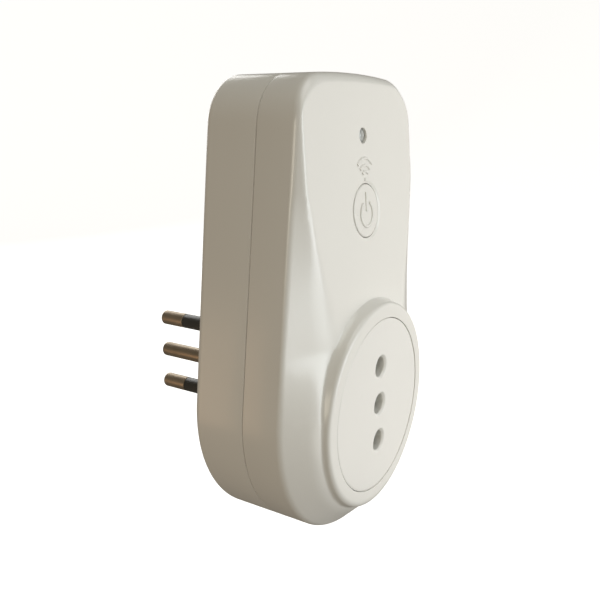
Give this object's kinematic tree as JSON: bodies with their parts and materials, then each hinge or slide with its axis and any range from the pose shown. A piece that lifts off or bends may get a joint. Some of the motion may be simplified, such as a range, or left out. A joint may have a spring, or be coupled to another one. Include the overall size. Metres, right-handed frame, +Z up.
{
  "type": "smart plug",
  "caption": "Wall-outlet smart plug: tapered split-shell housing with an in-line round-pin plug on a rear nose, matching shuttered socket on the front, push button and status light.",
  "frame": {"origin": "on the end face of the plug nose, on the axis of the middle (earth) pin, where the plug meets the wall outlet", "axes": "+Y along the pins towards the wall, so the front with the socket and button faces -Y; +Z up the housing's long side; +X to the right seen from the front"},
  "size_m": [0.066, 0.0693, 0.1089],
  "materials": {
    "shell": "smooth warm-white moulded ABS with a soft gloss",
    "insert": "smooth white moulded plastic, slightly brighter than the housing",
    "button": "smooth warm-white moulded plastic",
    "lens": "clear to milky light pipe",
    "shutter": "grey-green low-friction plastic",
    "insulator": "dark grey thermoset",
    "carrier": "cream insulating plastic",
    "sleeve": "black insulating sleeve",
    "nickel": "nickel-plated brass pin with turning marks",
    "brass": "stamped spring brass",
    "steel": "zinc-plated steel",
    "board": "green circuit board with solder mask",
    "component": "black component body",
    "relay": "blue sealed relay case",
    "terminal": "green terminal block",
    "film": "yellow capacitor box",
    "varistor": "blue dipped disc",
    "fuse": "ceramic fuse body",
    "can": "tinned shield",
    "core": "ferrite core and taped winding",
    "label": "blank silver-grey label",
    "wire_live": "brown wire insulation",
    "wire_load": "black wire insulation",
    "wire_neutral": "blue wire insulation",
    "wire_earth": "green and yellow wire insulation"
  },
  "bodies": {
    "housing": {"rear_cover": "shell", "front_cover": "shell", "socket_insert": "insert", "led_lens": "lens", "rating_label": "label", "housing_screw_1": "steel", "housing_screw_2": "steel", "housing_screw_3": "steel", "housing_screw_4": "steel", "line_pin": "nickel", "neutral_pin": "nickel", "earth_pin": "nickel", "line_pin_sleeve": "sleeve", "neutral_pin_sleeve": "sleeve", "pin_carrier": "insulator", "pin_carrier_screw_1": "steel", "pin_carrier_screw_2": "steel", "contact_carrier": "carrier", "contact_cover": "carrier", "line_contact": "brass", "earth_contact": "brass", "neutral_contact": "brass", "contact_screw_1": "steel", "contact_screw_2": "steel", "shutter_spring": "steel", "main_board": "board", "relay": "relay", "terminal_block": "terminal", "film_capacitor": "film", "varistor": "varistor", "fuse": "fuse", "supply_capacitor": "component", "filter_capacitor": "component", "transformer": "core", "bridge_rectifier": "component", "board_header": "component", "control_board": "board", "wifi_module": "board", "wifi_shield": "can", "status_led": "lens", "tact_switch": "component", "board_screw_1": "steel", "board_screw_2": "steel", "board_screw_3": "steel", "control_board_screw_1": "steel", "control_board_screw_2": "steel", "line_wire": "wire_live", "neutral_wire": "wire_neutral", "earth_wire": "wire_earth", "load_wire": "wire_load"},
    "button": {"power_button": "button"},
    "switch_plunger": {"tact_plunger": "component"},
    "socket_shutter": {"shutter": "shutter"}
  },
  "joints": [
    {"name": "button_press", "type": "slide", "parent": "housing", "child": "button", "axis": [0, 1, 0], "range_m": [0, 0.0005], "stiffness_N_per_m": 2500},
    {"name": "switch_press", "type": "slide", "parent": "housing", "child": "switch_plunger", "axis": [0, 1, 0], "range_m": [0, 0.0005]},
    {"name": "shutter_slide", "type": "slide", "parent": "housing", "child": "socket_shutter", "axis": [1, 0, 0], "range_m": [0, 0.0054], "stiffness_N_per_m": 120, "springref_m": -0.002, "deforming": ["shutter_spring"]}
  ],
  "couplings": [
    {"joint": "switch_press", "follows": "button_press", "ratio": 1}
  ]
}
